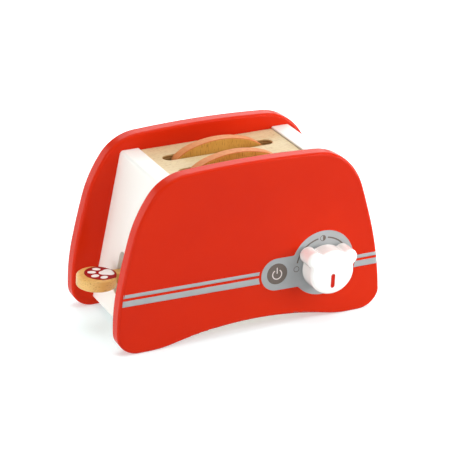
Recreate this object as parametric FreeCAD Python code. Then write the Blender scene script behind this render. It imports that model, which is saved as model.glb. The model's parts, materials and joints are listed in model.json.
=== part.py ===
import FreeCAD, Part
import math
import os

from FreeCAD import Vector, Placement, Rotation

# ---------------------------------------------------------------------------
# Toy toaster: two red side panels, two white leaning end panels, a plywood
# top plate with two slots, two toast slices on a lifter, a rocking lever and
# a turning knob.  Millimetres, +Z up, origin at the bottom centre of the
# bounding box.  -Y is the front (knob side), -X is the lever end.
# ---------------------------------------------------------------------------

# overall
PANEL_CX = 5.0            # middle of the side panels along X
PANEL_T = 10.6            # side panel thickness
FRONT_Y = -38.0           # outer face of the front panel
BACK_Y = 52.5             # outer face of the back panel
PANEL_EDGE_R = 2.0        # rounding of the panels' outline edges
FOOT_IN, FOOT_OUT = 72.0, 79.9      # flat foot, from the middle

# outline of a side panel, from each foot's outer end up to the crown:
# tangent arcs as (radius, turn in degrees); one more arc reaches the crown
RIGHT_ARCS = [(16.08, 59.134), (9.60, 33.326), (248.94, 11.863), (554.65, 2.816), (44.99, 26.462), (33.16, 42.287)]
LEFT_ARCS = [(15.53, 61.812), (11.91, 27.790), (146.54, 13.192), (550.78, 3.263), (89.12, 20.051), (32.19, 50.418)]
ARCH_H = 8.3              # height of the bottom arch
ARCH_R1 = 70.0            # arc between foot and arch
PANEL_H = 120.0

# end panels: leaning boards, outer face x = END_X0 + END_LEAN * z on the left
END_X0 = -76.9
END_LEAN = 0.212
END_T = 13.15             # thickness, square to the face
END_Z0, END_Z1 = 6.4, 108.6
END_EDGE_R = 2.6          # top edge, outside
END_INNER_R = 0.8         # top edge, beside the top plate
BODY_CX = 8.275           # middle between the two end panels

# top plate and its slots
TOP_Z = 107.05
TOP_T = 6.0
TOP_X0, TOP_X1 = -40.75, 57.0
SLOT_X0, SLOT_X1 = -32.3, 47.1
SLOT_W = 9.9
SLOT_FRONT_Y = -4.7
SLOT_REAR_Y = 21.3

# toast slices
TOAST_T = 7.8
TOAST_CX = 7.4
TOAST_TOP = 115.7
# half outline from the top of the crown: tangent arcs as (radius, turn in
# degrees), crown, shoulder, corner, then a shallow waist
TOAST_ARCS = [(66.0, 17.64), (32.5, 20.86), (5.56, 51.5), (45.0, 8.0), (45.0, -8.0)]
TOAST_EDGE_R = 0.8

# base board, battens
BASE_Z0, BASE_Z1 = 12.0, 18.0
CLEAT = 8.0
BASE_CLEAT_W = 5.5

# lever
PIVOT_X, PIVOT_Z = -45.0, 32.75
LEVER_TILT = 3.4          # degrees, thumb end up
LEVER_T = 8.0
ARM_W = 7.4
ARM_Y = 9.9
DISC_R = 13.4
DISC_L = 40.6             # pivot to disc centre
DISC_Y = 8.9
ARM_IN = 58.0             # pivot to the arm's inner end
BAR_L = 53.0              # pivot to the crossbar
BAR_W, BAR_H, BAR_LEN = 8.0, 6.0, 44.0
PIN_R = 2.0
PIN_RUN = 0.05            # radial running clearance on the pin
LSLOT_W = 9.2
LSLOT_Y = 9.9
LSLOT_Z0, LSLOT_Z1 = 22.0, 50.5

# lifter
LIFT_X0, LIFT_X1 = -20.3, 35.7
LIFT_Y0, LIFT_Y1 = -20.6, 37.4
LIFT_Z0 = 39.70
LIFT_T = 10.0
GROOVE_D = 5.0
GROOVE_W = 8.4
POST_R = 3.5
POST_RUN = 0.08
POSTS = [(-8.0, -14.6), (24.0, 31.2)]
POST_TOP = 68.0

# knob
KNOB_X, KNOB_Z = 56.5, 38.9
HEAD_A, HEAD_B = 15.9, 15.3          # half width and half height of the round part
HEAD_DZ = -0.4            # its middle, from the axle
KNOB_FRONT_Y = -52.5
KNOB_GAP = 1.1            # washer space behind the knob
EAR_R = 5.6
EARS = [(-12.4, 10.1), (12.9, 8.1)]
AXLE_R = 4.0
AXLE_RUN = 0.07

GLUE = 0.02               # glue gap round dowels and pins

os.makedirs("parts", exist_ok=True)
X, Y, Z = Vector(1, 0, 0), Vector(0, 1, 0), Vector(0, 0, 1)
IN_FRONT = FRONT_Y + PANEL_T      # inner face of the front panel
IN_BACK = BACK_Y - PANEL_T        # inner face of the back panel


def box(x0, x1, y0, y1, z0, z1):
    return Part.makeBox(x1 - x0, y1 - y0, z1 - z0, Vector(x0, y0, z0))


def cyl(x, y, z, axis, r, h):
    return Part.makeCylinder(r, h, Vector(x, y, z), axis)


def prism_y(points, y0, y1):
    """Polygon in the XZ plane, drawn out along Y."""
    pts = [Vector(px, y0, pz) for px, pz in points]
    face = Part.Face(Part.makePolygon(pts + [pts[0]]))
    return face.extrude(Vector(0, y1 - y0, 0))


def stadium(x0, x1, yc, w, z0, z1):
    """Round-ended bar along X."""
    r = w / 2.0
    body = box(x0 + r, x1 - r, yc - r, yc + r, z0, z1)
    body = body.fuse([cyl(x0 + r, yc, z0, Z, r, z1 - z0), cyl(x1 - r, yc, z0, Z, r, z1 - z0)])
    return body.removeSplitter()


def edges_where(shape, test):
    return [e for e in shape.Edges if test(e)]


def mids(edge):
    return edge.valueAt((edge.FirstParameter + edge.LastParameter) / 2.0)


def ends(edge):
    return edge.valueAt(edge.FirstParameter), edge.valueAt(edge.LastParameter)


def save(name, shape):
    solids = shape.Solids
    if len(solids) == 1:
        shape = solids[0]
    else:
        shape = Part.makeCompound(solids)
    bad = [i for i, s in enumerate(solids) if not s.isValid()]
    bb = shape.BoundBox
    print("%-24s %d solid(s) vol %9.1f  x %7.2f %7.2f  y %7.2f %7.2f  z %7.2f %7.2f%s" % (
        name, len(solids), shape.Volume, bb.XMin, bb.XMax, bb.YMin, bb.YMax, bb.ZMin, bb.ZMax,
        "  INVALID" if bad else ""))
    shape.exportStep("parts/%s.step" % name)
    return shape


def csk_screw(head_r, shank_r, length, head_h):
    """Countersunk cross-recess wood screw along +Z, head face at z = 0."""
    pts = [Vector(0, 0, 0), Vector(head_r, 0, 0), Vector(head_r, 0, 0.3), Vector(shank_r, 0, head_h),
           Vector(shank_r, 0, length - 2.5), Vector(0.3, 0, length), Vector(0, 0, length)]
    face = Part.Face(Part.makePolygon(pts + [pts[0]]))
    s = face.revolve(Vector(0, 0, 0), Z, 360)
    w, d = head_r * 0.26, head_h * 0.55
    arm = head_r * 0.58
    cross = box(-arm, arm, -w / 2, w / 2, -0.1, d).fuse(box(-w / 2, w / 2, -arm, arm, -0.1, d))
    return s.cut(cross)


def csk_hole(head_r, shank_r, through, head_h):
    """Countersunk clearance hole along +Z, mouth at z = 0."""
    g = GLUE
    pts = [Vector(0, 0, -0.5), Vector(head_r + g, 0, -0.5), Vector(head_r + g, 0, 0.3 + g),
           Vector(shank_r + g, 0, head_h + g), Vector(shank_r + g, 0, through), Vector(0, 0, through)]
    face = Part.Face(Part.makePolygon(pts + [pts[0]]))
    return face.revolve(Vector(0, 0, 0), Z, 360)


def placed(shape, x, y, z, rot=None):
    s = shape.copy()
    s.Placement = Placement(Vector(x, y, z), rot or Rotation())
    return s


# ---------------------------------------------------------------------------
# side panels
# ---------------------------------------------------------------------------
def arc_edge(p, t, q):
    """Arc from p, leaving along t, to q."""
    c = q - p
    n = c.Length
    side = t - c * (t.dot(c) / (n * n))
    sag = n / 2.0 * math.tan(math.acos(max(-1.0, min(1.0, t.dot(c) / n))) / 2.0)
    side.normalize()
    return Part.Arc(p, p + c * 0.5 + side * sag, q).toShape()


def half_outline(y, sign, arcs):
    """Edges from a foot's outer end to the crown; sign is +1 right, -1 left."""
    def v(px, pz):
        return Vector(PANEL_CX + sign * px, y, pz)
    px, pz, h = FOOT_OUT, 0.0, 0.0
    out = []
    for rad, turn in arcs:
        h1 = h + math.radians(turn)
        qx = px + rad * (math.sin(h1) - math.sin(h))
        qz = pz + rad * (math.cos(h) - math.cos(h1))
        out.append(arc_edge(v(px, pz), Vector(sign * math.cos(h), 0, math.sin(h)), v(qx, qz)))
        px, pz, h = qx, qz, h1
    out.append(arc_edge(v(px, pz), Vector(sign * math.cos(h), 0, math.sin(h)), v(0.0, PANEL_H)))
    return out


def panel_blank(y0, y1):
    def v(px, pz):
        return Vector(PANEL_CX + px, y0, pz)
    edges = half_outline(y0, 1, RIGHT_ARCS) + half_outline(y0, -1, LEFT_ARCS)
    # bottom arch: foot arc, long arc, foot arc
    turn = 2.0 * math.atan(ARCH_H / FOOT_IN)
    mx = FOOT_IN - ARCH_R1 * math.sin(turn)
    mz = ARCH_R1 * (1.0 - math.cos(turn))
    edges.append(arc_edge(v(FOOT_IN, 0), Vector(-1, 0, 0), v(mx, mz)))
    edges.append(Part.Arc(v(mx, mz), v(0, ARCH_H), v(-mx, mz)).toShape())
    edges.append(arc_edge(v(-FOOT_IN, 0), Vector(1, 0, 0), v(-mx, mz)))
    edges.append(Part.LineSegment(v(-FOOT_OUT, 0), v(-FOOT_IN, 0)).toShape())
    edges.append(Part.LineSegment(v(FOOT_IN, 0), v(FOOT_OUT, 0)).toShape())
    wire = Part.Wire(Part.__sortEdges__(edges))
    solid = Part.Face(wire).extrude(Vector(0, y1 - y0, 0))
    rim = edges_where(solid, lambda e: abs(ends(e)[0].y - ends(e)[1].y) < 1e-6)
    return solid.makeFillet(PANEL_EDGE_R, rim)


# dowels between side panels and end panels, on the end panels' middle plane
SLOPE_N = math.hypot(1.0, END_LEAN)
MID_OFF = END_T / 2.0 * SLOPE_N
DOWEL_R = 3.0
DOWEL_Z = [24.0, 58.0, 92.0]
DOWEL_XZ = []
for dz in DOWEL_Z:
    xl = END_X0 + MID_OFF + END_LEAN * dz
    DOWEL_XZ.append((xl, dz))
    DOWEL_XZ.append((2 * BODY_CX - xl, dz))


def dowels(y0, y1, grow=0.0, lengthen=0.0):
    out = []
    for dx, dz in DOWEL_XZ:
        c = cyl(dx, y0 - lengthen, dz, Y, DOWEL_R + grow, y1 - y0 + 2 * lengthen)
        if not grow:
            c = c.makeChamfer(0.6, edges_where(c, lambda e: e.Curve.TypeId == 'Part::GeomCircle'))
        out.append(c)
    return out


FD0, FD1 = IN_FRONT - 6.0, IN_FRONT + 10.0
BD0, BD1 = IN_BACK - 10.0, IN_BACK + 6.0
front_holes = dowels(FD0, FD1, GLUE, 0.2)
back_holes = dowels(BD0, BD1, GLUE, 0.2)

front = panel_blank(FRONT_Y, IN_FRONT).cut(front_holes)
front = front.cut(cyl(KNOB_X, FRONT_Y - 1, KNOB_Z, Y, AXLE_R + AXLE_RUN, PANEL_T + 2))
save("front_panel", front)
back = panel_blank(IN_BACK, BACK_Y).cut(back_holes)
save("back_panel", back)
save("front_dowels", Part.makeCompound(dowels(FD0, FD1)))
save("back_dowels", Part.makeCompound(dowels(BD0, BD1)))


# ---------------------------------------------------------------------------
# end panels
# ---------------------------------------------------------------------------
def left_end_blank():
    w = END_T * SLOPE_N

    def xo(z):
        return END_X0 + END_LEAN * z
    s = prism_y([(xo(END_Z0), END_Z0), (xo(END_Z1), END_Z1), (xo(END_Z1) + w, END_Z1), (xo(END_Z0) + w, END_Z0)],
                IN_FRONT, IN_BACK)
    for edge_x, edge_r in ((xo(END_Z1), END_EDGE_R), (xo(END_Z1) + w, END_INNER_R)):
        s = s.makeFillet(edge_r, edges_where(s, lambda e: abs(mids(e).z - END_Z1) < 1e-6 and abs(mids(e).x - edge_x) < 1e-4
                                             and abs(ends(e)[0].x - ends(e)[1].x) < 1e-6))
    low = edges_where(s, lambda e: abs(mids(e).z - END_Z0) < 1e-6 and abs(ends(e)[0].x - ends(e)[1].x) < 1e-6)
    return s.makeFillet(0.8, low)


# lever slot: round-ended, cut square to the leaning face
slot_half = (LSLOT_Z1 - LSLOT_Z0) / 2.0 * SLOPE_N
zc = (LSLOT_Z0 + LSLOT_Z1) / 2.0
slot_tool = stadium(-slot_half, slot_half, 0.0, LSLOT_W, -15.0, 15.0)
lean_deg = math.degrees(math.atan(END_LEAN))
# local x runs up the slope, local z points out of the face
slot_tool.Placement = Placement(Vector(END_X0 + END_LEAN * zc, LSLOT_Y, zc),
                                Rotation(Vector(END_LEAN, 0, 1), Vector(0, 1, 0), Vector(-1, 0, END_LEAN), "XZY"))
left_end = left_end_blank().cut(slot_tool)
mouth = edges_where(left_end, lambda e: abs(mids(e).x - (END_X0 + END_LEAN * mids(e).z)) < 1e-4
                    and abs(mids(e).y - LSLOT_Y) < LSLOT_W / 2 + 0.1 and LSLOT_Z0 - 0.5 < mids(e).z < LSLOT_Z1 + 0.5)
left_end = left_end.makeFillet(0.5, mouth)
left_end = left_end.cut(front_holes + back_holes)
save("left_end_panel", left_end)

right_end = left_end_blank().mirror(Vector(BODY_CX, 0, 0), X).cut(front_holes + back_holes)
save("right_end_panel", right_end)

# ---------------------------------------------------------------------------
# top plate and its battens
# ---------------------------------------------------------------------------
top = box(TOP_X0, TOP_X1, IN_FRONT, IN_BACK, TOP_Z - TOP_T, TOP_Z)
for sy in (SLOT_FRONT_Y, SLOT_REAR_Y):
    top = top.cut(stadium(SLOT_X0, SLOT_X1, sy, SLOT_W, TOP_Z - TOP_T - 1, TOP_Z + 1))
lips = edges_where(top, lambda e: abs(mids(e).z - TOP_Z) < 1e-6 and SLOT_X0 - 0.1 < mids(e).x < SLOT_X1 + 0.1
                   and min(abs(mids(e).y - SLOT_FRONT_Y), abs(mids(e).y - SLOT_REAR_Y)) < SLOT_W / 2 + 0.1)
top = top.makeFillet(0.5, lips)
save("top_plate", top)
save("front_top_cleat", box(-30, 46, IN_FRONT, IN_FRONT + CLEAT, TOP_Z - TOP_T - CLEAT, TOP_Z - TOP_T))
save("rear_top_cleat", box(-30, 46, IN_BACK - CLEAT, IN_BACK, TOP_Z - TOP_T - CLEAT, TOP_Z - TOP_T))


# ---------------------------------------------------------------------------
# base board, battens and screws
# ---------------------------------------------------------------------------
def xin(z):
    """Inner face of the left end panel."""
    return END_X0 + END_T * SLOPE_N + END_LEAN * z


SCREWS = [(-35.0, IN_FRONT + BASE_CLEAT_W / 2 + 0.7), (34.0, IN_FRONT + BASE_CLEAT_W / 2 + 0.7),
          (-35.0, IN_BACK - BASE_CLEAT_W / 2 - 0.7), (34.0, IN_BACK - BASE_CLEAT_W / 2 - 0.7)]
base = prism_y([(xin(BASE_Z0), BASE_Z0), (xin(BASE_Z1), BASE_Z1),
                (2 * BODY_CX - xin(BASE_Z1), BASE_Z1), (2 * BODY_CX - xin(BASE_Z0), BASE_Z0)], IN_FRONT, IN_BACK)
for sx, sy in SCREWS:
    base = base.cut(placed(csk_hole(3.4, 1.7, 8.0, 2.2), sx, sy, BASE_Z0))
for px, py in POSTS:
    base = base.cut(cyl(px, py, BASE_Z0 + 1.2, Z, POST_R + GLUE, 10))
save("base_board", base)
for name, cy0 in (("front_base_cleat", IN_FRONT), ("rear_base_cleat", IN_BACK - BASE_CLEAT_W)):
    c = box(-45, 42, cy0, cy0 + BASE_CLEAT_W, BASE_Z1, BASE_Z1 + CLEAT)
    for sx, sy in SCREWS:
        if cy0 < sy < cy0 + BASE_CLEAT_W:
            c = c.cut(cyl(sx, sy, BASE_Z1 - 1, Z, 1.7 + GLUE, 7.5))
    save(name, c)
save("base_screws", Part.makeCompound([placed(csk_screw(3.4, 1.7, 12.0, 2.2), sx, sy, BASE_Z0) for sx, sy in SCREWS]))

# ---------------------------------------------------------------------------
# lever: drawn level with the pivot at the origin, arm along -X outwards,
# then tilted and moved to the pivot
# ---------------------------------------------------------------------------
ay = ARM_Y
half = LEVER_T / 2.0
arm = box(-DISC_L, ARM_IN, ay - ARM_W / 2, ay + ARM_W / 2, -half, half)
disc = cyl(-DISC_L, DISC_Y, -half, Z, DISC_R, LEVER_T)
lever = arm.fuse(disc).removeSplitter()
corner = edges_where(lever, lambda e: abs(ends(e)[0].z - ends(e)[1].z) > LEVER_T - 0.01
                     and -DISC_L < mids(e).x < -DISC_L + DISC_R + 1 and abs(mids(e).y - ay) < ARM_W / 2 + 0.01)
lever = lever.makeFillet(1.5, corner)
tip = edges_where(lever, lambda e: abs(ends(e)[0].z - ends(e)[1].z) > LEVER_T - 0.01 and mids(e).x > ARM_IN - 0.01)
lever = lever.makeFillet(2.0, tip)
rim = edges_where(lever, lambda e: abs(abs(mids(e).z) - half) < 1e-6 and abs(ends(e)[0].z - ends(e)[1].z) < 1e-6)
lever = lever.makeFillet(1.6, rim)
lever = lever.cut(cyl(0, ay - 10, 0, Y, PIN_R + PIN_RUN, 20))
bar_screw = placed(csk_screw(2.9, 1.4, 11.0, 1.9), BAR_L, ay, -half + 0.02)
lever = lever.cut(placed(csk_hole(2.9, 1.4, 12.0, 1.9), BAR_L, ay, -half + 0.02))

r = BAR_W / 2.0
by = ay - BAR_LEN / 2
q = [Vector(BAR_L - r, by, half), Vector(BAR_L + r, by, half), Vector(BAR_L + r, by, half + BAR_H - r),
     Vector(BAR_L, by, half + BAR_H), Vector(BAR_L - r, by, half + BAR_H - r)]
bar = Part.Face(Part.Wire([Part.LineSegment(q[0], q[1]).toShape(), Part.LineSegment(q[1], q[2]).toShape(),
                           Part.Arc(q[2], q[3], q[4]).toShape(), Part.LineSegment(q[4], q[0]).toShape()]))
bar = bar.extrude(Vector(0, BAR_LEN, 0))
bar = bar.makeChamfer(0.5, edges_where(bar, lambda e: abs(ends(e)[0].y - ends(e)[1].y) < 1e-6
                                       and e.Curve.TypeId == 'Part::GeomCircle'))
bar = bar.cut(cyl(BAR_L, ay, half - 1, Z, 1.4 + GLUE, 4.3))

tilt = Placement(Vector(PIVOT_X, 0, PIVOT_Z), Rotation(Vector(0, 1, 0), LEVER_TILT))
lever.Placement = tilt.multiply(lever.Placement)
bar.Placement = tilt.multiply(bar.Placement)
bar_screw.Placement = tilt.multiply(bar_screw.Placement)
lever = save("lever", lever)
bar = save("lift_crossbar", bar)
save("crossbar_screw", bar_screw)

# pivot pin, brackets and washers
WASH_T = 1.0
wy0 = ay - ARM_W / 2 - 0.1 - WASH_T
wy1 = ay + ARM_W / 2 + 0.1
BR_W = 9.0
save("lever_pin", cyl(PIVOT_X, wy0 - BR_W, PIVOT_Z, Y, PIN_R, wy1 + WASH_T - wy0 + 2 * BR_W))
for name, b0, b1 in (("front_lever_bracket", wy0 - BR_W, wy0), ("rear_lever_bracket", wy1 + WASH_T, wy1 + WASH_T + BR_W)):
    b = box(PIVOT_X - 6, PIVOT_X + 6, b0, b1, BASE_Z1, PIVOT_Z + 6.5)
    crown = edges_where(b, lambda e: abs(mids(e).z - (PIVOT_Z + 6.5)) < 1e-6 and abs(ends(e)[0].x - ends(e)[1].x) < 1e-6)
    b = b.makeFillet(5.0, crown)
    b = b.cut(cyl(PIVOT_X, b0 - 1, PIVOT_Z, Y, PIN_R + 0.01, b1 - b0 + 2))
    save(name, b)
washers = []
for w0 in (wy0, wy1):
    w = cyl(PIVOT_X, w0, PIVOT_Z, Y, 4.5, WASH_T).cut(cyl(PIVOT_X, w0 - 1, PIVOT_Z, Y, PIN_R + 0.02, WASH_T + 2))
    washers.append(w)
save("lever_washers", Part.makeCompound(washers))

# stop block with a felt pad under the arm's inner end, cut to the arm's slope
sl = math.tan(math.radians(LEVER_TILT))


def under_arm(x):
    """Height of the arm's underside above x."""
    return PIVOT_Z - (x - PIVOT_X) * sl - half / math.cos(math.radians(LEVER_TILT))


PAD_T = 2.0
SB0, SB1 = -10.0, 4.0
pad = prism_y([(SB0, under_arm(SB0) - 0.02 - PAD_T), (SB0, under_arm(SB0) - 0.02),
               (SB1, under_arm(SB1) - 0.02), (SB1, under_arm(SB1) - 0.02 - PAD_T)], ay - 7, ay + 7)
save("stop_felt", pad)
block = prism_y([(SB0, BASE_Z1), (SB0, under_arm(SB0) - 0.02 - PAD_T),
                 (SB1, under_arm(SB1) - 0.02 - PAD_T), (SB1, BASE_Z1)], ay - 7, ay + 7)
save("stop_block", block)

# ---------------------------------------------------------------------------
# lifter, posts and toast slices
# ---------------------------------------------------------------------------
lift = box(LIFT_X0, LIFT_X1, LIFT_Y0, LIFT_Y1, LIFT_Z0, LIFT_Z0 + LIFT_T)
lift = lift.makeFillet(3.0, edges_where(lift, lambda e: abs(ends(e)[0].z - ends(e)[1].z) > LIFT_T - 0.01))
for sy in (SLOT_FRONT_Y, SLOT_REAR_Y):
    lift = lift.cut(box(LIFT_X0 - 1, LIFT_X1 + 1, sy - GROOVE_W / 2, sy + GROOVE_W / 2,
                        LIFT_Z0 + LIFT_T - GROOVE_D, LIFT_Z0 + LIFT_T + 1))
for px, py in POSTS:
    lift = lift.cut(cyl(px, py, LIFT_Z0 - 1, Z, POST_R + POST_RUN, LIFT_T + 2))
save("lifter_platform", lift)

posts = []
for px, py in POSTS:
    p = cyl(px, py, BASE_Z0 + 1.2, Z, POST_R, POST_TOP - BASE_Z0 - 1.2)
    p = p.makeFillet(1.5, edges_where(p, lambda e: e.Curve.TypeId == 'Part::GeomCircle' and e.BoundBox.ZMin > POST_TOP - 0.01))
    posts.append(p)
save("lifter_posts", Part.makeCompound(posts))


def toast(yc):
    y0 = yc - TOAST_T / 2
    zb = LIFT_Z0 + LIFT_T - GROOVE_D

    def half_slice(sign):
        def v(px, pz):
            return Vector(TOAST_CX + sign * px, y0, pz)
        px, pz, h = 0.0, TOAST_TOP, 0.0
        out = []
        for rad, turn in TOAST_ARCS:
            h1 = h + math.radians(turn)
            s = 1 if turn > 0 else -1
            qx = px + s * rad * (math.sin(h1) - math.sin(h))
            qz = pz - s * rad * (math.cos(h) - math.cos(h1))
            out.append(arc_edge(v(px, pz), Vector(sign * math.cos(h), 0, -math.sin(h)), v(qx, qz)))
            px, pz, h = qx, qz, h1
        out.append(Part.LineSegment(v(px, pz), v(px, zb)).toShape())
        out.append(Part.LineSegment(v(px, zb), v(0.0, zb)).toShape())
        return out
    wire = Part.Wire(Part.__sortEdges__(half_slice(1) + half_slice(-1)))
    s = Part.Face(wire).extrude(Vector(0, TOAST_T, 0)).removeSplitter()
    s = s.makeFillet(6.0, edges_where(s, lambda e: abs(mids(e).z - zb) < 1e-6 and abs(ends(e)[0].x - ends(e)[1].x) < 1e-6))
    rim = edges_where(s, lambda e: abs(ends(e)[0].y - ends(e)[1].y) < 1e-6)
    return s.makeFillet(TOAST_EDGE_R, rim)


save("front_toast", toast(SLOT_FRONT_Y))
save("rear_toast", toast(SLOT_REAR_Y))

# ---------------------------------------------------------------------------
# knob
# ---------------------------------------------------------------------------
kb = FRONT_Y - KNOB_GAP                 # back face of the knob
kt = kb - KNOB_FRONT_Y                  # thickness of the knob


def kc(dx, dz, radius, y0, y1):
    return cyl(KNOB_X + dx, y0, KNOB_Z + dz, Y, radius, y1 - y0)


head = Part.Face(Part.Wire([Part.Ellipse(Vector(0, 0, 0), HEAD_A, HEAD_B).toShape()])).extrude(Vector(0, 0, kt))
head.Placement = Placement(Vector(KNOB_X, kb, KNOB_Z + HEAD_DZ), Rotation(Vector(1, 0, 0), 90))
knob = head.fuse([kc(ex, ez, EAR_R, KNOB_FRONT_Y, kb) for ex, ez in EARS]).removeSplitter()
inner = edges_where(knob, lambda e: abs(ends(e)[0].y - ends(e)[1].y) > kt - 0.01
                    and abs(math.hypot((mids(e).x - KNOB_X) / HEAD_A, (mids(e).z - KNOB_Z - HEAD_DZ) / HEAD_B) - 1.0) < 0.005
                    and min(abs(math.hypot(mids(e).x - KNOB_X - ex, mids(e).z - KNOB_Z - ez) - EAR_R) for ex, ez in EARS) < 0.05)
knob = knob.makeFillet(2.2, inner)
knob = knob.makeFillet(2.2, edges_where(knob, lambda e: abs(mids(e).y - KNOB_FRONT_Y) < 1e-6
                                        and abs(ends(e)[0].y - ends(e)[1].y) < 1e-6))
knob = knob.makeFillet(1.0, edges_where(knob, lambda e: abs(mids(e).y - kb) < 1e-6
                                        and abs(ends(e)[0].y - ends(e)[1].y) < 1e-6))
# pointer inlay: a round-ended bar let into the face, flush
PTR_W, PTR_L, PTR_D = 2.9, 9.9, 1.2
ptr = stadium(-PTR_L / 2, PTR_L / 2, 0, PTR_W, 0, PTR_D)
ptr_rot = Rotation(Vector(0.044, 0, 1), Vector(1, 0, 0), Vector(0, 1, 0), "XZY")
ptr.Placement = Placement(Vector(KNOB_X + 0.2, KNOB_FRONT_Y, KNOB_Z - 6.0), ptr_rot)
pocket = stadium(-PTR_L / 2 - GLUE, PTR_L / 2 + GLUE, 0, PTR_W + 2 * GLUE, -1, PTR_D + GLUE)
pocket.Placement = Placement(Vector(KNOB_X + 0.2, KNOB_FRONT_Y, KNOB_Z - 6.0), ptr_rot)
knob = knob.cut(pocket)
AXLE_IN = 9.0                            # axle length inside the knob
RET_T, RET_R = 6.0, 11.0
RW_T = 1.0
knob = knob.cut(cyl(KNOB_X, kb - AXLE_IN - 0.2, KNOB_Z, Y, AXLE_R + GLUE, AXLE_IN + 1))
save("knob", knob)
save("knob_pointer", ptr)

axle_end = IN_FRONT + 0.1 + RW_T + RET_T
axle = cyl(KNOB_X, kb - AXLE_IN, KNOB_Z, Y, AXLE_R, axle_end - kb + AXLE_IN - 2.0)
ksc = csk_screw(3.2, 1.5, 13.0, 2.0)
kscrew = placed(ksc, KNOB_X, axle_end, KNOB_Z, Rotation(Vector(1, 0, 0), 90))
khole = placed(csk_hole(3.2, 1.5, 13.5, 2.0), KNOB_X, axle_end, KNOB_Z, Rotation(Vector(1, 0, 0), 90))
axle = axle.cut(khole)
save("knob_axle", axle)
felt = cyl(KNOB_X, kb, KNOB_Z, Y, 10.0, KNOB_GAP - 0.05).cut(cyl(KNOB_X, kb - 1, KNOB_Z, Y, AXLE_R + GLUE, 5))
save("knob_felt_washer", felt)
rw = cyl(KNOB_X, IN_FRONT + 0.1, KNOB_Z, Y, 8.0, RW_T).cut(cyl(KNOB_X, IN_FRONT - 1, KNOB_Z, Y, AXLE_R + GLUE, 5))
save("knob_retainer_washer", rw)
ret = cyl(KNOB_X, IN_FRONT + 0.1 + RW_T, KNOB_Z, Y, RET_R, RET_T)
ret = ret.makeFillet(0.8, edges_where(ret, lambda e: e.Curve.TypeId == 'Part::GeomCircle' and abs(mids(e).y - axle_end) < 1e-6))
ret = ret.cut(cyl(KNOB_X, IN_FRONT, KNOB_Z, Y, AXLE_R + GLUE, 0.1 + RW_T + RET_T - 2.0 + GLUE)).cut(khole)
save("knob_retainer", ret)
save("knob_screw", kscrew)

# figures that the record uses
tip_z = BAR_H - r + half
rad = math.hypot(BAR_L, tip_z)
a0 = math.atan2(tip_z, BAR_L) - math.radians(LEVER_TILT)
print("crossbar top at rest %.3f, platform underside %.3f" % (PIVOT_Z + rad * math.sin(a0) + r, LIFT_Z0))
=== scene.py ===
import json
import math

import bpy
from mathutils import Matrix, Vector
from mathutils.bvhtree import BVHTree


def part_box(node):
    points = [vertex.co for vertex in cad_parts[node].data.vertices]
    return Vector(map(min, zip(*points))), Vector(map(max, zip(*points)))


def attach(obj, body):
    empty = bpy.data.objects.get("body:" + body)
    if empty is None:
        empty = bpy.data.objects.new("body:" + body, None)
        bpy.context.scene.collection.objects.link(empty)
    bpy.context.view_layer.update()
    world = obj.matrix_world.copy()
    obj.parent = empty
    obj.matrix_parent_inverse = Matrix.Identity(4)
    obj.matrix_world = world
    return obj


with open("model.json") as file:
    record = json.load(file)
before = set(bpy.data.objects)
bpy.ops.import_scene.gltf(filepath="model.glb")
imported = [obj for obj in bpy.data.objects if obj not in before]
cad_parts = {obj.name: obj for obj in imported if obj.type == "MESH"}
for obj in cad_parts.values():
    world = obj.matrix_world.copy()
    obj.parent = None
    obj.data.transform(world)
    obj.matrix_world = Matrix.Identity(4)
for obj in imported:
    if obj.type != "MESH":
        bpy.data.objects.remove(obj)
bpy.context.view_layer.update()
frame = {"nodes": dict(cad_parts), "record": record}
NODES = frame["nodes"]

MM = 0.001


# ---------------------------------------------------------------- colours and node helpers

def srgb(r, g, b):
    """Linear colour from 0-255 display values."""
    def one(c):
        c = c / 255.0
        return c / 12.92 if c <= 0.04045 else ((c + 0.055) / 1.055) ** 2.4
    return (one(r), one(g), one(b), 1.0)


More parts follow.
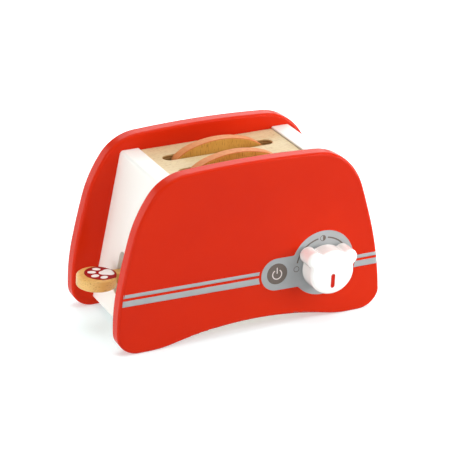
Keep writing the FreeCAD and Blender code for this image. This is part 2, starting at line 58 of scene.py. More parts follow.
class Mat:
    """A principled material with helpers that add nodes and return their output sockets."""

    def __init__(self, name):
        self.m = bpy.data.materials.new(name)
        self.m.use_nodes = True
        self.t = self.m.node_tree
        self.t.nodes.clear()
        self.out = self.t.nodes.new("ShaderNodeOutputMaterial")
        self.b = self.t.nodes.new("ShaderNodeBsdfPrincipled")
        self.t.links.new(self.b.outputs["BSDF"], self.out.inputs["Surface"])
        self.tc = self.t.nodes.new("ShaderNodeTexCoord")
        self._xyz = None

    def link(self, a, b):
        self.t.links.new(a, b)

    def put(self, socket, value):
        if isinstance(value, bpy.types.NodeSocket):
            self.link(value, socket)
        else:
            socket.default_value = value

    def set(self, **kw):
        names = {
            "color": "Base Color", "rough": "Roughness", "spec": "Specular IOR Level", "coat": "Coat Weight",
            "coat_rough": "Coat Roughness", "metal": "Metallic", "sheen": "Sheen Weight", "sheen_rough": "Sheen Roughness",
            "normal": "Normal", "ior": "IOR", "sss": "Subsurface Weight", "coat_ior": "Coat IOR", "coat_normal": "Coat Normal",
        }
        for k, v in kw.items():
            self.put(self.b.inputs[names[k]], v)
        return self

    def xyz(self):
        """Object-space position, split (metres)."""
        if self._xyz is None:
            n = self.t.nodes.new("ShaderNodeSeparateXYZ")
            self.link(self.tc.outputs["Object"], n.inputs[0])
            self._xyz = n
        return self._xyz.outputs["X"], self._xyz.outputs["Y"], self._xyz.outputs["Z"]

    def nrm(self):
        """Object-space normal, split."""
        n = self.t.nodes.new("ShaderNodeSeparateXYZ")
        self.link(self.tc.outputs["Normal"], n.inputs[0])
        return n.outputs["X"], n.outputs["Y"], n.outputs["Z"]

    def mapped(self, scale, rot=(0, 0, 0), loc=(0, 0, 0)):
        n = self.t.nodes.new("ShaderNodeMapping")
        self.link(self.tc.outputs["Object"], n.inputs["Vector"])
        n.inputs["Scale"].default_value = scale
        n.inputs["Rotation"].default_value = rot
        n.inputs["Location"].default_value = loc
        return n.outputs["Vector"]

    def noise(self, vec, scale=1.0, detail=3.0, rough=0.5, dist=0.0):
        n = self.t.nodes.new("ShaderNodeTexNoise")
        self.link(vec, n.inputs["Vector"])
        n.inputs["Scale"].default_value = scale
        n.inputs["Detail"].default_value = detail
        n.inputs["Roughness"].default_value = rough
        n.inputs["Distortion"].default_value = dist
        return n.outputs["Fac"]

    def voronoi(self, vec, scale=1.0, feature="F1"):
        n = self.t.nodes.new("ShaderNodeTexVoronoi")
        n.feature = feature
        self.link(vec, n.inputs["Vector"])
        n.inputs["Scale"].default_value = scale
        return n.outputs["Distance"]

    def wave(self, vec, scale=1.0, dist=2.0, detail=2.0, dscale=1.0, axis="X"):
        n = self.t.nodes.new("ShaderNodeTexWave")
        n.wave_type = "BANDS"
        n.bands_direction = axis
        self.link(vec, n.inputs["Vector"])
        n.inputs["Scale"].default_value = scale
        n.inputs["Distortion"].default_value = dist
        n.inputs["Detail"].default_value = detail
        n.inputs["Detail Scale"].default_value = dscale
        return n.outputs["Fac"]

    def ramp(self, fac, stops, interp="LINEAR"):
        n = self.t.nodes.new("ShaderNodeValToRGB")
        n.color_ramp.interpolation = interp
        els = n.color_ramp.elements
        while len(els) < len(stops):
            els.new(0.5)
        for e, (p, c) in zip(els, stops):
            e.position = p
            e.color = c if len(c) == 4 else (*c, 1.0)
        self.link(fac, n.inputs["Fac"])
        return n.outputs["Color"]

    def maprange(self, v, a, b, c=0.0, d=1.0, smooth=False):
        n = self.t.nodes.new("ShaderNodeMapRange")
        n.interpolation_type = "SMOOTHSTEP" if smooth else "LINEAR"
        n.clamp = True
        self.link(v, n.inputs["Value"])
        n.inputs["From Min"].default_value = a
        n.inputs["From Max"].default_value = b
        n.inputs["To Min"].default_value = c
        n.inputs["To Max"].default_value = d
        return n.outputs["Result"]

    def math(self, op, a, b=None, clamp=False):
        n = self.t.nodes.new("ShaderNodeMath")
        n.operation = op
        n.use_clamp = clamp
        self.put(n.inputs[0], a)
        if b is not None:
            self.put(n.inputs[1], b)
        return n.outputs[0]

    def mix(self, fac, a, b, mode="MIX"):
        n = self.t.nodes.new("ShaderNodeMix")
        n.data_type = "RGBA"
        n.blend_type = mode
        n.clamp_factor = True
        sock = {s.identifier: s for s in n.inputs}
        self.put(sock["Factor_Float"], fac)
        self.put(sock["A_Color"], a)
        self.put(sock["B_Color"], b)
        return next(s for s in n.outputs if s.identifier == "Result_Color")

    def bump(self, height, distance, strength=1.0, normal=None):
        n = self.t.nodes.new("ShaderNodeBump")
        n.inputs["Strength"].default_value = strength
        n.inputs["Distance"].default_value = distance
        self.link(height, n.inputs["Height"])
        if normal is not None:
            self.link(normal, n.inputs["Normal"])
        return n.outputs["Normal"]


# ---------------------------------------------------------------- materials

def lacquer(name, main, deep, rough=0.24, spec=0.14, grain=(9, 60, 60)):
    """Opaque sprayed lacquer on a sanded board: a faint cloudy tone, slight orange peel and fibres under the film."""
    k = Mat(name)
    cloud = k.noise(k.mapped((14, 14, 14)), 1.0, 3.0, 0.55)
    fibre = k.noise(k.mapped((grain[0] * 10, grain[1] * 10, grain[2] * 10)), 1.0, 4.0, 0.6)
    col = k.mix(k.maprange(cloud, 0.32, 0.68), deep, main)
    col = k.mix(k.math("MULTIPLY", k.maprange(fibre, 0.45, 0.75), 0.10), col, deep)
    peel = k.noise(k.mapped((750, 750, 750)), 1.0, 2.0, 0.5)
    long_wave = k.noise(k.mapped((90, 90, 90)), 1.0, 2.0, 0.5)
    n = k.bump(long_wave, 0.00004, 0.30)
    n = k.bump(peel, 0.000006, 0.45, n)
    n = k.bump(fibre, 0.000008, 0.35, n)
    k.set(color=col, rough=k.maprange(cloud, 0.3, 0.7, rough - 0.02, rough + 0.04), spec=spec, normal=n)
    return k


def wood(name, axis, light, dark, fleck, fleck_amt=0.5, rough=0.5, spec=0.3, coat=0.0, fleck_scale=1.0, band=0.35, shade=None):
    """Fine-grained hardwood: broad tone bands along the grain, hair-fine fibres and short dark ray flecks."""
    k = Mat(name)

    def along(slow, fast):
        s = [fast, fast, fast]
        s["xyz".index(axis)] = slow
        return tuple(s)

    broad = k.noise(k.mapped(along(5, 55)), 1.0, 3.0, 0.5, 0.6)
    fibre = k.noise(k.mapped(along(60, 1500)), 1.0, 3.0, 0.6)
    rays = k.noise(k.mapped(along(330 * fleck_scale, 2100 * fleck_scale)), 1.0, 1.0, 0.4)
    col = k.mix(k.maprange(broad, 0.30, 0.70), dark, light)
    col = k.mix(k.math("MULTIPLY", k.maprange(fibre, 0.35, 0.75), band), col, dark)
    mask = k.maprange(rays, 0.585, 0.665, 0.0, 1.0, True)
    col = k.mix(k.math("MULTIPLY", mask, fleck_amt), col, fleck)
    n = k.bump(fibre, 0.00003, 0.35)
    n = k.bump(mask, 0.00004, 0.25, n)
    k.col = col
    k.normal = n
    k.broad, k.fibre, k.mask = broad, fibre, mask
    k.set(color=col, rough=k.maprange(fibre, 0.3, 0.7, rough - 0.05, rough + 0.08), spec=spec, normal=n)
    if coat:
        k.set(coat=coat, coat_rough=0.22)
    return k


M = {}

# red lacquered side panels
M["red_lacquer"] = lacquer("red_lacquer_board", srgb(211, 44, 14), srgb(205, 40, 14), 0.16, 0.075).m

# white lacquered end panels
k = lacquer("white_lacquer_board", srgb(242, 243, 237), srgb(238, 238, 231), 0.32, 0.30)
M["white_lacquer"] = k.m

# pale birch plywood top under clear lacquer: the slots' walls and the plate's edges show the plies
k = wood("birch_plywood_top", "x", srgb(221, 205, 165), srgb(210, 187, 143), srgb(178, 142, 94), 0.60, 0.42, 0.30, fleck_scale=1.0)
nx, ny, nz = k.nrm()
x, y, z = k.xyz()
side = k.maprange(k.math("ABSOLUTE", nz), 0.35, 0.75, 1.0, 0.0, True)
ply = k.ramp(
    k.maprange(k.math("ADD", z, k.math("MULTIPLY", k.fibre, 0.0004)), 0.10105, 0.10725),
    [(0.0, srgb(196, 156, 96)), (0.20, srgb(150, 104, 54)), (0.25, srgb(200, 162, 104)), (0.45, srgb(182, 142, 84)),
     (0.50, srgb(140, 96, 48)), (0.55, srgb(196, 156, 98)), (0.78, srgb(146, 100, 50)), (0.83, srgb(206, 170, 112)), (1.0, srgb(214, 180, 124))],
)
k.set(color=k.mix(side, k.col, ply))
M["top_plywood"] = k.m

M["base_plywood"] = wood("plywood_base", "x", srgb(228, 206, 165), srgb(214, 188, 142), srgb(180, 146, 98), 0.45, 0.62, 0.2).m
WOODS = {
    a: wood("inner_beech_" + a, a, srgb(222, 188, 140), srgb(206, 168, 118), srgb(164, 118, 70), 0.5, 0.6, 0.2).m for a in "xyz"
}
DOWELS = {
    a: wood("dowel_beech_" + a, a, srgb(226, 194, 148), srgb(210, 174, 126), srgb(170, 128, 80), 0.4, 0.55, 0.2).m for a in "xyz"
}

# lever: ochre beech under clear lacquer
M["lever_wood"] = wood(
    "lever_beech", "x", srgb(232, 190, 110), srgb(216, 164, 84), srgb(162, 108, 46), 0.55, 0.36, 0.35, coat=0.2, fleck_scale=0.8
).m

# toast: ochre beech faces with upright flecks, a light terracotta crust painted round the edge, and painted shade as a
# darker orange line along the crease where crust meets face
k = wood("toast_beech", "z", srgb(204, 153, 71), srgb(190, 134, 55), srgb(148, 95, 34), 0.62, 0.5, 0.25, fleck_scale=0.85)
nx, ny, nz = k.nrm()
ay = k.math("ABSOLUTE", ny)
crust_mask = k.maprange(ay, 0.55, 0.80, 1.0, 0.0, True)
# painted shade: a band on the rounded crease between crust and face, chosen by the normal, that gets a darker orange
crease_shade_mask = k.math("MULTIPLY", k.maprange(ay, 0.40, 0.62, 0.0, 1.0, True), k.maprange(ay, 0.80, 0.985, 1.0, 0.0, True))
speck = k.noise(k.mapped((420, 420, 420)), 1.0, 3.0, 0.6)
crust = k.mix(k.maprange(speck, 0.35, 0.70), srgb(214, 140, 84), srgb(202, 121, 66))
c = k.mix(crust_mask, k.col, crust)
# the painted crease shade is laid over the crust and face colours
c = k.mix(k.math("MULTIPLY", crease_shade_mask, 0.9), c, srgb(184, 86, 30))
k.set(color=c)
M["toast_wood"] = k.m

# knob: thick white gloss on turned wood
k = lacquer("knob_gloss_white", srgb(252, 252, 248), srgb(249, 249, 244), 0.14, 0.5)
k.set(coat=0.35, coat_rough=0.08)
M["knob_lacquer"] = k.m

k = Mat("pointer_red_inlay")
fleck = k.noise(k.mapped((500, 500, 500)), 1.0, 2.0, 0.5)
k.set(
    color=k.mix(k.maprange(fleck, 0.3, 0.7), srgb(202, 36, 18), srgb(192, 30, 16)), rough=0.30, spec=0.12,
    normal=k.bump(fleck, 0.00001, 0.3),
)
M["pointer_red"] = k.m

k = Mat("screw_zinc")
brush = k.noise(k.mapped((900, 900, 900)), 1.0, 4.0, 0.7)
k.set(
    color=k.mix(brush, srgb(168, 166, 158), srgb(196, 196, 192)), metal=1.0, rough=k.maprange(brush, 0.3, 0.7, 0.26, 0.42),
    normal=k.bump(brush, 0.00001, 0.3),
)
M["screw_steel"] = k.m

k = Mat("pin_ground_steel")
brush = k.noise(k.mapped((4000, 300, 4000)), 1.0, 3.0, 0.6)
k.set(
    color=k.mix(brush, srgb(176, 178, 180), srgb(204, 205, 206)), metal=1.0, rough=k.maprange(brush, 0.3, 0.7, 0.16, 0.28),
    normal=k.bump(brush, 0.000005, 0.3),
)
M["pin_steel"] = k.m

k = Mat("nylon_natural")
cl = k.noise(k.mapped((300, 300, 300)), 1.0, 2.0, 0.5)
k.set(
    color=k.mix(cl, srgb(232, 230, 222), srgb(240, 239, 233)), rough=0.42, spec=0.4, sss=0.12, normal=k.bump(cl, 0.00001, 0.2)
)
k.b.inputs["Subsurface Radius"].default_value = (0.001, 0.001, 0.001)
M["nylon"] = k.m

k = Mat("felt_grey")
fz = k.noise(k.mapped((2200, 2200, 2200)), 1.0, 5.0, 0.75, 1.5)
tuft = k.noise(k.mapped((500, 500, 500)), 1.0, 3.0, 0.6)
k.set(
    color=k.mix(fz, srgb(112, 113, 118), srgb(160, 160, 164)), rough=0.95, spec=0.1, sheen=0.4, sheen_rough=0.6,
    normal=k.bump(tuft, 0.0002, 0.4, k.bump(fz, 0.0001, 0.6)),
)
M["felt"] = k.m


def ink(name, a, b, rough=0.42, spec=0.2):
    """Screen-printing ink: matte film with a very fine mesh texture and slight density changes."""
    k = Mat(name)
    dens = k.noise(k.mapped((120, 120, 120)), 1.0, 3.0, 0.5)
    mesh = k.noise(k.mapped((2600, 2600, 2600)), 1.0, 2.0, 0.5)
    k.set(
        color=k.mix(k.maprange(dens, 0.35, 0.65), a, b), rough=k.maprange(mesh, 0.3, 0.7, rough - 0.04, rough + 0.06), spec=spec,
        normal=k.bump(mesh, 0.000006, 0.4),
    )
    return k.m


INK = {
    "print_grey": ink("ink_grey", srgb(170, 173, 174), srgb(165, 168, 169)),
    "print_taupe": ink("ink_taupe", srgb(112, 101, 94), srgb(106, 96, 89)),
    "print_light": ink("ink_light", srgb(232, 220, 216), srgb(226, 214, 210)),
    "print_crimson": ink("ink_crimson", srgb(162, 22, 22), srgb(154, 18, 19), spec=0.08),
    "print_white": ink("ink_white", srgb(250, 246, 242), srgb(245, 241, 236)),
}

# every CAD node gets its material; woods follow the direction each piece was cut in
GRAIN = {
    "front_top_cleat": "x", "rear_top_cleat": "x", "front_base_cleat": "x", "rear_base_cleat": "x", "lifter_platform": "x",
    "front_lever_bracket": "z", "rear_lever_bracket": "z", "stop_block": "y", "knob_retainer": "x", "lift_crossbar": "y",
    "front_dowels": "y", "back_dowels": "y", "lifter_posts": "z", "knob_axle": "y",
}
for entry in frame["record"]["subparts"]:
    node, s = entry["node"], entry["material_slot"]
    if s == "inner_wood":
        m = WOODS[GRAIN[node]]
    elif s == "dowel_wood":
        m = DOWELS[GRAIN[node]]
    else:
        m = M[s]
    ob = NODES[node]
    for i in range(len(ob.material_slots)):
        ob.material_slots[i].material = m


# ---------------------------------------------------------------- printed films

def add_piece(name, verts, faces, material, body, smooth=False):
    me = bpy.data.meshes.new(name)
    me.from_pydata([tuple(v) for v in verts], [], faces)
    me.materials.append(material)
    me.validate()
    me.update()
    if smooth:
        for p in me.polygons:
            p.use_smooth = True
    ob = bpy.data.objects.new(name, me)
    bpy.context.scene.collection.objects.link(ob)
    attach(ob, body)
    return ob


def bvh_of(node):
    me = NODES[node].data
    return BVHTree.FromPolygons([v.co.copy() for v in me.vertices], [tuple(p.vertices) for p in me.polygons], all_triangles=False)


FRONT_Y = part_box("front_panel")[0].y


def slab(name, outline, low, high, material, body="root"):
    """A flat ink film on the front face: outline is (x, z) in mm, counterclockwise seen from the front."""
    n = len(outline)
    top = [Vector((px * MM, FRONT_Y - high * MM, pz * MM)) for px, pz in outline]
    bot = [Vector((px * MM, FRONT_Y - low * MM, pz * MM)) for px, pz in outline]
    faces = [tuple(range(n)), tuple(range(2 * n - 1, n - 1, -1))]
    faces += [(i, n + i, n + (i + 1) % n, (i + 1) % n) for i in range(n)]
    return add_piece(name, top + bot, faces, material, body)


def ring(name, cx, cz, r_out, r_in, a0, a1, low, high, material, slot, seg=96):
    """A flat annular film from angle a0 to a1 in degrees; a whole ring when they are 360 apart."""
    closed = abs(abs(a1 - a0) - 360) < 1e-6
    count = seg if closed else seg + 1
    verts = []
    for i in range(count):
        a = math.radians(a0 + (a1 - a0) * i / seg)
        for r, h in ((r_out, high), (r_in, high), (r_in, low), (r_out, low)):
            verts.append(Vector(((cx + r * math.cos(a)) * MM, FRONT_Y - h * MM, (cz + r * math.sin(a)) * MM)))
    faces = []
    for i in range(seg):
        j = (i + 1) % count
        for q in range(4):
            p = (q + 1) % 4
            faces.append((4 * i + q, 4 * i + p, 4 * j + p, 4 * j + q))
    if not closed:
        faces.append((3, 2, 1, 0))
        e = 4 * seg
        faces.append((e, e + 1, e + 2, e + 3))
    return add_piece(name, verts, faces, material, "root")


def arc(cx, cz, r, a0, a1, n):
    return [(cx + r * math.cos(math.radians(a0 + (a1 - a0) * i / n)), cz + r * math.sin(math.radians(a0 + (a1 - a0) * i / n))) for i in range(n + 1)]


def round_corner(p, a, b, r, n=6):
    """Points that replace corner p, between neighbours a and b, with a smooth curve starting r before it."""
    pa = Vector(a) - Vector(p)
    pb = Vector(b) - Vector(p)
    s, e = Vector(p) + pa.normalized() * r, Vector(p) + pb.normalized() * r
    out = []
    for i in range(n + 1):
        t = i / n
        out.append(tuple(s * (1 - t) ** 2 + Vector(p) * 2 * t * (1 - t) + e * t * t))
    return out


SKEW = math.radians(-1.12)
LOW, BASE, MARK, GLYPH = -0.02, 0.045, 0.075, 0.105

# dial plate: a 46 mm disc with a round-ended pod for the power mark
dial_c, dial_r = (56.48, 40.28), 22.86
pod_c, pod_r = (22.77, 37.90), 11.37
ux, uz = math.cos(SKEW), math.sin(SKEW)


def meet(px, pz):
    """Where the line from (px, pz) along the skewed print direction meets the dial's circle."""
    fx, fz = px - dial_c[0], pz - dial_c[1]
    bq = fx * ux + fz * uz
    cq = fx * fx + fz * fz - dial_r * dial_r
    t = -bq - math.sqrt(bq * bq - cq)
    return (px + ux * t, pz + uz * t)


top_tan = (pod_c[0] - uz * pod_r, pod_c[1] + ux * pod_r)
low_tan = (pod_c[0] + uz * pod_r, pod_c[1] - ux * pod_r)
jt, jb = meet(*top_tan), meet(*low_tan)
ang = lambda p: math.degrees(math.atan2(p[1] - dial_c[1], p[0] - dial_c[0]))
a_top, a_low = ang(jt), ang(jb)
big = arc(dial_c[0], dial_c[1], dial_r, a_low + 360 if a_low < 0 else a_low, a_top + 360 if a_top < 0 else a_top, 2)
a_low %= 360
a_top %= 360
sweep = (a_top - a_low) % 360
trim = math.degrees(1.3 / dial_r)
main_arc = arc(dial_c[0], dial_c[1], dial_r, a_low + trim, a_low + sweep - trim, 150)
pod_arc = arc(pod_c[0], pod_c[1], pod_r, 90 + math.degrees(SKEW), 270 + math.degrees(SKEW), 72)
outline = main_arc + round_corner(jt, main_arc[-1], top_tan, 1.3)[1:-1] + pod_arc + round_corner(jb, low_tan, main_arc[0], 1.3)[1:-1]
slab("dial_plate_print", outline, LOW, BASE, INK["print_grey"])

# power mark
pm = (22.91, 38.29)
slab("power_disc_print", arc(*pm, 7.40, 0, 360, 96)[:-1], LOW, MARK, INK["print_taupe"])
pg = (22.92, 37.85)
ring("power_ring_print", *pg, 3.66, 2.92, 121, 417, LOW, GLYPH, INK["print_light"], "print_light", 80)
bar_a = math.radians(90)
slab(
    "power_bar_print",
    arc(pg[0], pg[1] + 4.55, 0.37, 0, 180, 10) + arc(pg[0], pg[1] + 0.85, 0.37, 180, 360, 10),
    LOW, GLYPH, INK["print_light"],
)

# browning scale round the knob: open circle, arcs, half-filled circle, filled circle
sc, sr = (56.29, 39.0), 19.2
ring("scale_arc_left_print", *sc, sr + 0.50, sr - 0.50, 100.5, 167.5, LOW, MARK, INK["print_taupe"], "print_taupe", 60)
ring("scale_arc_right_print", *sc, sr + 0.50, sr - 0.50, 12.5, 79.5, LOW, MARK, INK["print_taupe"], "print_taupe", 60)
ring("scale_low_mark_print", 37.03, 38.99, 2.05, 1.65, 0, 360, LOW, MARK, INK["print_taupe"], "print_taupe", 48)
mid = (56.26, 57.88)
ring("scale_middle_ring_print", *mid, 2.10, 1.72, 0, 360, LOW, MARK, INK["print_taupe"], "print_taupe", 48)
slab("scale_middle_half_print", arc(*mid, 1.80, -90, 90, 30), LOW, MARK + 0.012, INK["print_taupe"])
slab("scale_high_mark_print", arc(75.56, 39.10, 2.05, 0, 360, 48)[:-1], LOW, MARK, INK["print_taupe"])

# stripes: thin over thick, left of the pod and right of the dial
front_bvh = bvh_of("front_panel")


def drop_front(px, pz):
    """Point and normal of the front panel's face under (x, z) mm, looking back along +Y."""
    hit, nr, _, _ = front_bvh.ray_cast(Vector((px * MM, FRONT_Y - 0.05, pz * MM)), Vector((0, 1, 0)))
    if hit is None:
        return None, None
    if nr.y > 0:
        nr = -nr
    return hit, nr


def stripe(name, start_edge, end_edge, nlong, nacross, low, high, material):
    """A band between two edge lines, each a list of nacross+1 points from its upper to its lower side."""
    verts_t, verts_b = [], []
    for i in range(nlong + 1):
        t = i / nlong
        for j in range(nacross + 1):
            px = start_edge[j][0] * (1 - t) + end_edge[j][0] * t
            pz = start_edge[j][1] * (1 - t) + end_edge[j][1] * t
            p, nr = drop_front(px, pz)
            verts_t.append(p + nr * (high * MM))
            verts_b.append(p + nr * (low * MM))
    w = nacross + 1
    off = len(verts_t)
    faces = []
    for i in range(nlong):
        for j in range(nacross):
            a = i * w + j
            faces.append((a, a + 1, a + w + 1, a + w))
            faces.append((off + a, off + a + w, off + a + w + 1, off + a + 1))
    for i in range(nlong):
        a, b = i * w, (i + 1) * w
        faces.append((a, b, off + b, off + a))
        a, b = i * w + nacross, (i + 1) * w + nacross
        faces.append((b, a, off + a, off + b))
    for j in range(nacross):
        faces.append((j + 1, j, off + j, off + j + 1))
        a = nlong * w + j
        faces.append((a, a + 1, off + a + 1, off + a))
    return add_piece(name, verts_t + verts_b, faces, material, "root", smooth=True)


def edge_line(top, bottom, n):
    return [(top[0] + (bottom[0] - top[0]) * j / n, top[1] + (bottom[1] - top[1]) * j / n) for j in range(n + 1)]


def gap_arc(centre, radius, z_top, z_bottom, side, n):
    """Edge that follows a circle of that radius, on its left (side -1) or right (+1)."""
    pts = []
    for j in range(n + 1):
        zz = z_top + (z_bottom - z_top) * j / n
        pts.append((centre[0] + side * math.sqrt(max(0.0, radius ** 2 - (zz - centre[1]) ** 2)), zz))
    return pts


G = INK["print_grey"]
stripe("stripe_thin_left_print", edge_line((-85.63, 43.73), (-86.01, 41.26), 4), gap_arc(pod_c, pod_r + 1.75, 41.90, 39.57, -1, 4), 48, 4, LOW, BASE, G)
stripe("stripe_thick_left_print", edge_line((-86.24, 39.43), (-86.71, 35.33), 6), gap_arc(pod_c, pod_r + 1.75, 37.60, 33.25, -1, 6), 48, 6, LOW, BASE, G)


def run_out(z_in, drop, x_from):
    """Where a stripe's edge leaves the flat face on the right and is half way round the rounded edge."""
    best = None
    px = x_from
    while px < 101.0:
        zz = z_in + drop * (px - x_from)
        p, nr = drop_front(px, zz)
        if p is None or nr.y > -0.72:
            break
        best = (px, zz)
        px += 0.05
    return best


def right_stripe(name, z_top, z_bot, n):
    inner = gap_arc(dial_c, dial_r + 1.6, z_top, z_bot, 1, n)
    outer = [run_out(zz, math.tan(SKEW) * 0.4, px) for px, zz in inner]
    return stripe(name, inner, outer, 90, n, LOW, BASE, G)


right_stripe("stripe_thin_right_print", 41.03, 38.46, 4)
right_stripe("stripe_thick_right_print", 36.68, 32.33, 6)

# lever: crimson disc and a plain paw on the thumb disc's top face
lever_bvh = bvh_of("lever")
TILT = math.radians(3.4)
up = Vector((math.sin(TILT), 0, math.cos(TILT)))
fwd = Vector((math.cos(TILT), 0, -math.sin(TILT)))
side_v = Vector((0, 1, 0))
lev_lo, lev_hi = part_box("lever")
disc_mid = Vector((-0.0450, 0.0089, 0.03275)) - fwd * 0.0406 + up * 0.004


def drop_lever(u, v):
    """Point and normal on the lever's top face at u mm along it (towards the toaster) and v mm towards the back."""
    start = disc_mid + fwd * (u * MM) + side_v * (v * MM) + up * 0.02
    hit, nr, _, _ = lever_bvh.ray_cast(start, -up)
    if hit is None:
        return None, None
    if nr.dot(up) < 0:
        nr = -nr
    return hit, nr


def lever_film(name, centre, outline_uv, rings, low, high, material):
    """A film over the lever's top: rings of points between the centre and the outline, laid on the surface."""
    n = len(outline_uv)
    tops, bots = [], []

    def put(u, v):
        p, nr = drop_lever(u, v)
        tops.append(p + nr * (high * MM))
        bots.append(p + nr * (low * MM))

    put(*centre)
    for q in range(1, rings + 1):
        f = q / rings
        for u, v in outline_uv:
            put(centre[0] + (u - centre[0]) * f, centre[1] + (v - centre[1]) * f)
    off = len(tops)
    faces = []
    for i in range(n):
        j = (i + 1) % n
        faces.append((0, 1 + i, 1 + j))
        faces.append((off, off + 1 + j, off + 1 + i))
        for q in range(rings - 1):
            a, b = 1 + q * n + i, 1 + q * n + j
            faces.append((a, a + n, b + n, b))
            faces.append((off + a, off + b, off + b + n, off + a + n))
        a, b = 1 + (rings - 1) * n + i, 1 + (rings - 1) * n + j
        faces.append((a, off + a, off + b, b))
    return add_piece(name, tops + bots, faces, material, "lever_arm", smooth=True)


def oval(cu, cv, ru, rv, turn, n=40):
    t = math.radians(turn)
    pts = []
    for i in range(n):
        a = 2 * math.pi * i / n
        x0, y0 = ru * math.cos(a), rv * math.sin(a)
        pts.append((cu + x0 * math.cos(t) - y0 * math.sin(t), cv + x0 * math.sin(t) + y0 * math.cos(t)))
    return pts


def rounded_triangle(cu, cv, size, power=2.6, n=72):
    """A soft triangle pointing to -u."""
    pts = []
    for i in range(n):
        a = 2 * math.pi * i / n
        s = sum(max(0.0, math.cos(a - c)) ** power * wgt for c, wgt in ((math.pi, 1.0), (math.radians(52), 0.98), (math.radians(-52), 0.98)))
        rr = size * (0.62 + 0.40 * s)
        pts.append((cu + rr * math.cos(a), cv + rr * math.sin(a)))
    return pts


PC, PV = 3.05, 0.3
disc_outline = []
for u, v in oval(PC, PV, 11.05, 11.05, 0, 144):
    far = math.hypot(u, v)
    if far > 13.05:
        u, v = u * 13.05 / far, v * 13.05 / far
    disc_outline.append((u, v))
lever_film("lever_disc_print", (PC, PV), disc_outline, 30, LOW, BASE, INK["print_crimson"])
W = INK["print_white"]
for nm, cu, cv, ru, rv, turn in (
    ("paw_toe_front_outer_print", 2.6, -6.9, 2.75, 2.05, 24),
    ("paw_toe_front_inner_print", -2.2, -3.1, 2.9, 2.1, 14),
    ("paw_toe_rear_inner_print", -2.2, 3.1, 2.9, 2.1, -14),
    ("paw_toe_rear_outer_print", 2.6, 6.9, 2.75, 2.05, -24),
):
    lever_film(nm, (cu, cv + PV), oval(cu, cv + PV, ru, rv, turn), 5, LOW, MARK, W)
lever_film("paw_pad_print", (7.1, PV), rounded_triangle(7.1, PV, 5.4), 8, LOW, MARK, W)


# ---------------------------------------------------------------- floor, light, camera

me = bpy.data.meshes.new("floor")
F = 30.0
me.from_pydata([(-F, -F, 0), (F, -F, 0), (F, F, 0), (-F, F, 0)], [], [(0, 1, 2, 3)])
floor = bpy.data.objects.new("floor", me)
bpy.context.scene.collection.objects.link(floor)
k = Mat("studio_floor")
haze = k.noise(k.mapped((3, 3, 3)), 1.0, 2.0, 0.5)
x, y, z = k.xyz()
away = k.maprange(k.math("SQRT", k.math("ADD", k.math("MULTIPLY", x, x), k.math("MULTIPLY", y, y))), 0.20, 0.60, 0.0, 1.0, True)
# near the object the floor is painted a cool tint that offsets the red light the panels bounce onto it
cool_tint_near = k.mix(haze, (0.72, 0.81, 0.81, 1), (0.74, 0.83, 0.83, 1))
k.set(color=k.mix(away, cool_tint_near, (0.82, 0.82, 0.82, 1)), rough=0.8, spec=0.1)
# painted glow: the floor emits light of its own, weaker (0.40) and cooler near the object so its shadows show,
# stronger (0.62) and white further out
k.link(k.mix(away, (0.86, 1.0, 1.02, 1), (1.0, 1.0, 1.0, 1)), k.b.inputs["Emission Color"])
k.link(k.maprange(away, 0.0, 1.0, 0.40, 0.62), k.b.inputs["Emission Strength"])
me.materials.append(k.m)
floor.visible_diffuse = False

world = bpy.data.worlds.new("studio")
bpy.context.scene.world = world
world.use_nodes = True
wt = world.node_tree
wt.nodes.clear()
wo = wt.nodes.new("ShaderNodeOutputWorld")
wb = wt.nodes.new("ShaderNodeBackground")
wb.inputs["Color"].default_value = (1, 1, 1, 1)
wt.links.new(wb.outputs[0], wo.inputs["Surface"])


def world_range(v, a, b, c, d):
    n = wt.nodes.new("ShaderNodeMapRange")
    n.interpolation_type = "SMOOTHSTEP"
    wt.links.new(v, n.inputs["Value"])
    n.inputs["From Min"].default_value = a
    n.inputs["From Max"].default_value = b
    for socket, value in ((n.inputs["To Min"], c), (n.inputs["To Max"], d)):
        if isinstance(value, bpy.types.NodeSocket):
            wt.links.new(value, socket)
        else:
            socket.default_value = value
    return n.outputs["Result"]


# light from above is even; light sent back up by the floor is strongest on the lever's side
w_dir = wt.nodes.new("ShaderNodeSeparateXYZ")
wt.links.new(wt.nodes.new("ShaderNodeTexCoord").outputs["Generated"], w_dir.inputs[0])
from_floor = world_range(w_dir.outputs["X"], -0.95, -0.20, 1.90, 0.40)
wt.links.new(world_range(w_dir.outputs["Z"], -0.06, 0.06, from_floor, 0.38), wb.inputs["Strength"])


def area(name, at, to, w, h, watts, color=(1, 1, 1)):
    d = bpy.data.lights.new(name, "AREA")
    d.shape = "RECTANGLE"
    d.size, d.size_y = w, h
    d.energy = watts
    d.color = color
    o = bpy.data.objects.new(name, d)
    o.location = at
    o.rotation_mode = "QUATERNION"
    o.rotation_quaternion = (Vector(to) - Vector(at)).to_track_quat("-Z", "Y")
    o.visible_camera = False
    bpy.context.scene.collection.objects.link(o)
    return o


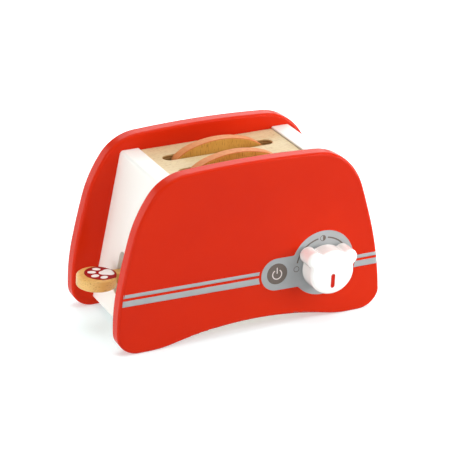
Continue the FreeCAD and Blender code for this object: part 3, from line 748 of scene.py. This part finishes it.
area("top_softbox", (0.10, 0.15, 1.6), (0, 0.0, 0.05), 1.4, 1.4, 15.0)
area("back_softbox", (0.65, 1.50, 0.80), (0, 0, 0.1), 1.8, 1.0, 11.0)
area("key_softbox", (0.60, -0.62, 0.70), (0, 0, 0.05), 0.4, 0.4, 2.8)
area("low_front_softbox", (0.75, -0.85, 0.10), (0, -0.04, 0.06), 0.6, 0.14, 2.6)
grazing = area("right_softbox", (0.78, -0.30, 0.18), (0, -0.03, 0.04), 0.45, 0.45, 4.6)
shaded = bpy.data.collections.new("shaded_from_right_softbox")
shaded.objects.link(NODES["right_end_panel"])
grazing.light_linking.receiver_collection = shaded
shaded.collection_objects[0].light_linking.link_state = "EXCLUDE"
area("rear_fill_softbox", (0.15, 1.25, 0.35), (0, 0, 0.05), 0.8, 0.4, 3.0).visible_glossy = False
area("glint_light", (-0.80, -1.25, 0.58), (0, 0, 0.05), 0.2, 0.2, 3.5)
area("fill_softbox", (-1.40, -0.22, 0.09), (0, 0, 0.05), 0.7, 0.16, 1.1)
area("low_left_card", (-0.32, -0.02, 0.03), (-0.07, 0, 0.035), 0.25, 0.05, 0.16).visible_glossy = False
area("rear_left_softbox", (-1.25, 1.25, 0.42), (0, 0, 0.06), 1.7, 0.8, 8.0).visible_diffuse = False

cam_data = bpy.data.cameras.new("camera")
cam = bpy.data.objects.new("camera", cam_data)
bpy.context.scene.collection.objects.link(cam)
cam.location = (-0.52828, -1.12481, 0.59967)
yaw, tip, roll = math.radians(25.278), math.radians(23.386), math.radians(0.392)
look = Vector((math.sin(yaw) * math.cos(tip), math.cos(yaw) * math.cos(tip), -math.sin(tip)))
level = look.cross(Vector((0, 0, 1))).normalized()
above = level.cross(look)
cam_x = level * math.cos(roll) + above * math.sin(roll)
cam_y = above * math.cos(roll) - level * math.sin(roll)
cam.rotation_mode = "QUATERNION"
cam.rotation_quaternion = Matrix((cam_x, cam_y, -look)).transposed().to_quaternion()
cam_data.sensor_width = 36.0
cam_data.lens = 163.84
cam_data.clip_start = 0.01
cam_data.clip_end = 50.0
bpy.context.scene.camera = cam

vs = bpy.context.scene.view_settings
vs.view_transform = "Standard"
vs.look = "None"
vs.exposure = 0.0
vs.gamma = 1.0
